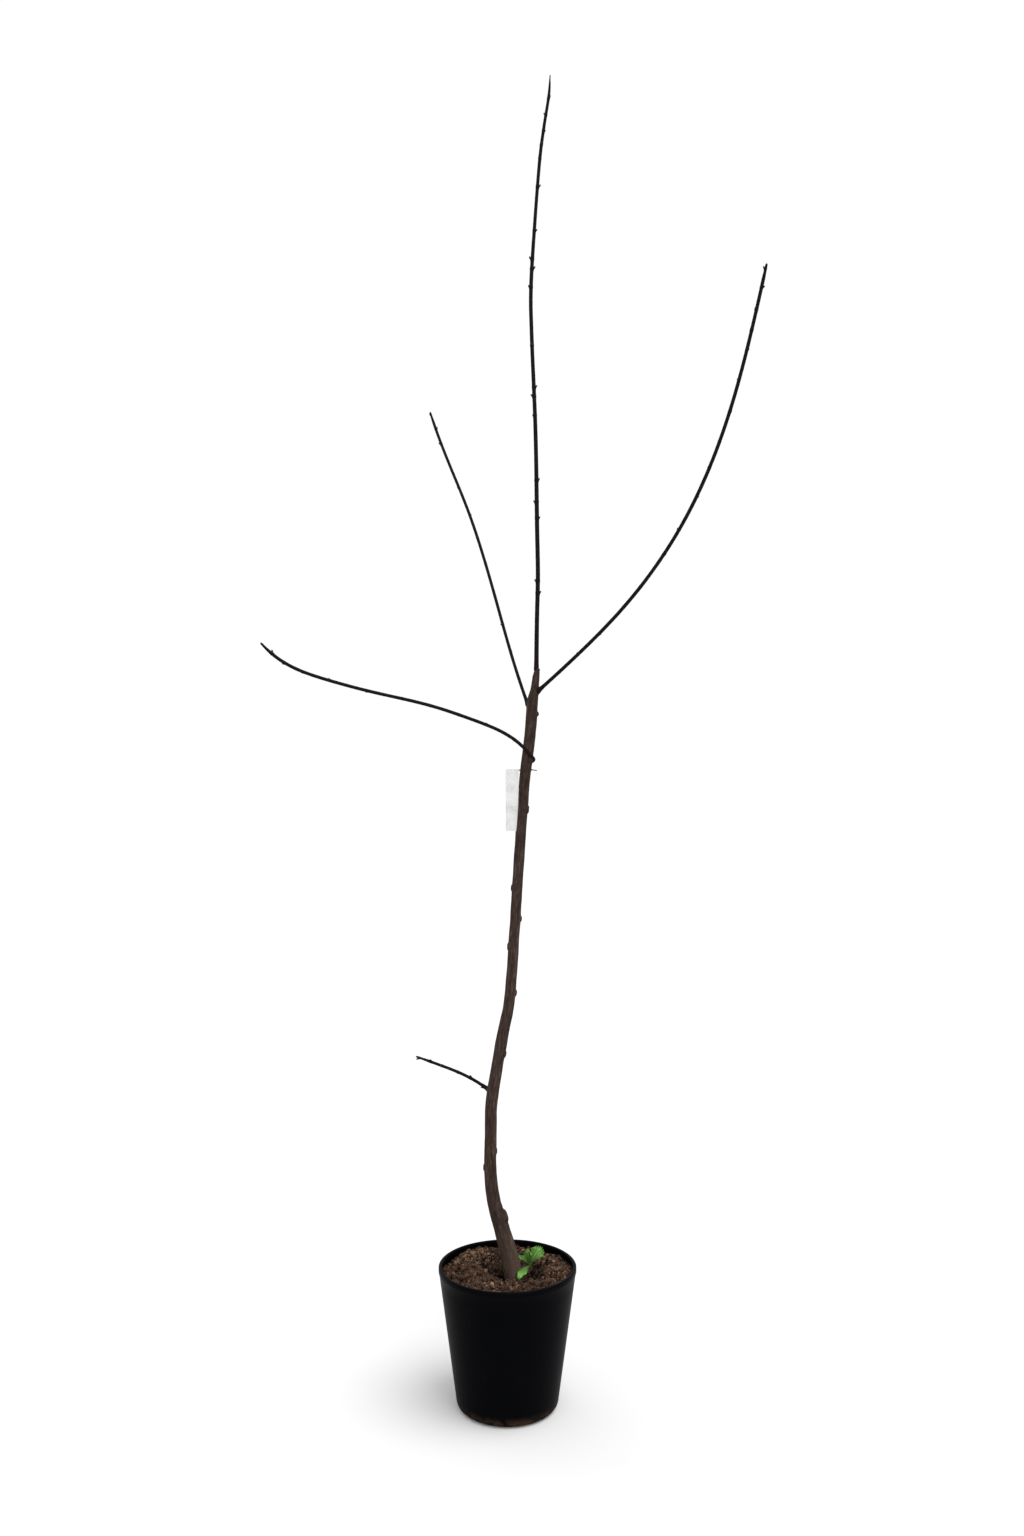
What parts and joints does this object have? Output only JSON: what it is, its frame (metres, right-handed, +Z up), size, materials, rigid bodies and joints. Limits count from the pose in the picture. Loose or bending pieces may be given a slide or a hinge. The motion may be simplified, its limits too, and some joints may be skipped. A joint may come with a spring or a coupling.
{
  "type": "potted persimmon tree",
  "caption": "Young bare persimmon tree in a round black nursery pot: pruned trunk, tall leader, long thin boughs, a leafy sprout at its foot and a small blank tag.",
  "frame": {"origin": "middle of the pot's flat underside", "axes": "+Z up the trunk, +X to the viewer's right in the picture, -Y towards the viewer"},
  "size_m": [0.8683, 0.4488, 2.5051],
  "materials": {
    "black_plastic": "satin black with a low sheen",
    "potting_mix": "rough, crumbly and fibrous",
    "trunk_bark": "rough bark, flaky at the foot",
    "bough_bark": "fine dark bark",
    "shoot_bark": "smooth young bark with buds",
    "leaf_green": "soft satin leaf",
    "tag_white": "plain matt white"
  },
  "bodies": {
    "root": {"pot": "black_plastic", "potting_mix": "potting_mix", "trunk": "trunk_bark", "leader": "bough_bark", "leader_shoot": "shoot_bark", "right_bough": "bough_bark", "right_shoot": "shoot_bark", "left_bough": "bough_bark", "left_shoot": "shoot_bark", "low_bough": "bough_bark", "low_shoot": "shoot_bark", "low_twig": "shoot_bark", "foot_sprout": "leaf_green", "blank_tag": "tag_white"}
  },
  "joints": []
}
